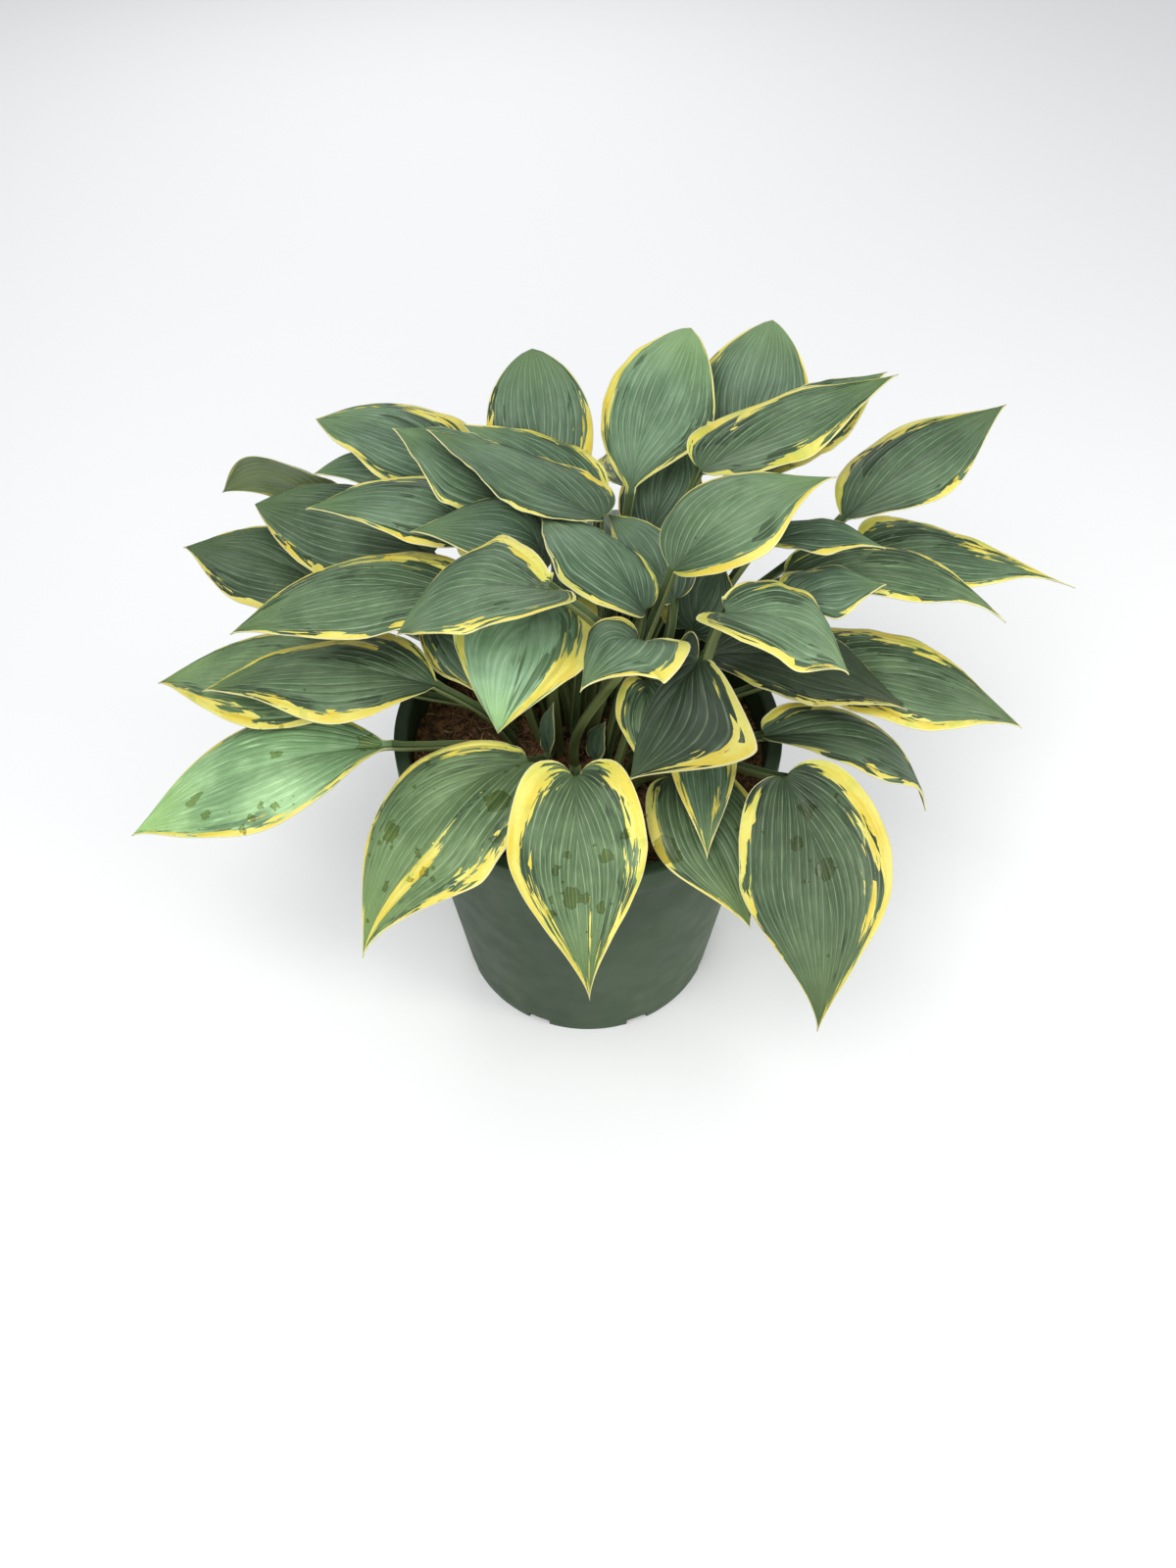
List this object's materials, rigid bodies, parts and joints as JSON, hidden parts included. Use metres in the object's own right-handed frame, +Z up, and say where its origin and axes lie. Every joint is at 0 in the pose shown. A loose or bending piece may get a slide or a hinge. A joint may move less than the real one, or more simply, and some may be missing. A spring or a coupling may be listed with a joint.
{
  "type": "potted hosta plant",
  "caption": "Hosta with blue-green, cream-edged leaves on arching petioles, rising from compost in a round tapered plastic nursery pot with a rim band and drain notches",
  "frame": {"origin": "middle of the pot's flat base, on the surface it stands on", "axes": "+Z up; the leaves spread furthest along X, and -Y is the open front of the plant"},
  "size_m": [0.6315, 0.4199, 0.409],
  "materials": {
    "leaf": "soft sheen, blue-green with cream edges",
    "soil": "rough fibrous compost",
    "pot": "satin moulded plastic, grey-green"
  },
  "bodies": {
    "root": {"leaf_back_left_mid": "leaf", "leaf_back_low_left": "leaf", "leaf_back_low_middle": "leaf", "leaf_back_low_right": "leaf", "leaf_back_middle_mid": "leaf", "leaf_back_right_long": "leaf", "leaf_back_right_tall": "leaf", "leaf_back_right_under": "leaf", "leaf_back_round": "leaf", "leaf_back_shade": "leaf", "leaf_back_tall": "leaf", "leaf_centre_arch": "leaf", "leaf_centre_curl": "leaf", "leaf_centre_heart": "leaf", "leaf_centre_left": "leaf", "leaf_centre_right_long": "leaf", "leaf_centre_shade": "leaf", "leaf_centre_twist": "leaf", "leaf_dark_middle": "leaf", "leaf_dark_small": "leaf", "leaf_front_left": "leaf", "leaf_front_middle": "leaf", "leaf_front_right": "leaf", "leaf_front_right_under": "leaf", "leaf_left_edge": "leaf", "leaf_left_far": "leaf", "leaf_left_low": "leaf", "leaf_left_mid": "leaf", "leaf_left_shadow": "leaf", "leaf_left_turned": "leaf", "leaf_left_under": "leaf", "leaf_left_wide": "leaf", "leaf_middle_under": "leaf", "leaf_right_arch": "leaf", "leaf_right_curl": "leaf", "leaf_right_fold": "leaf", "leaf_right_long": "leaf", "leaf_right_low": "leaf", "leaf_right_mid": "leaf", "leaf_right_narrow": "leaf", "leaf_right_small": "leaf", "leaf_right_spear": "leaf", "leaf_right_top": "leaf", "leaf_right_wide": "leaf", "leaf_upper_left_back": "leaf", "leaf_upper_left_blue": "leaf", "leaf_upper_left_far": "leaf", "leaf_upper_left_long": "leaf", "leaf_upper_left_mid": "leaf", "leaf_upper_left_small": "leaf", "pot": "pot", "shoot_fold": "leaf", "shoot_spear": "leaf", "soil": "soil"}
  },
  "joints": []
}
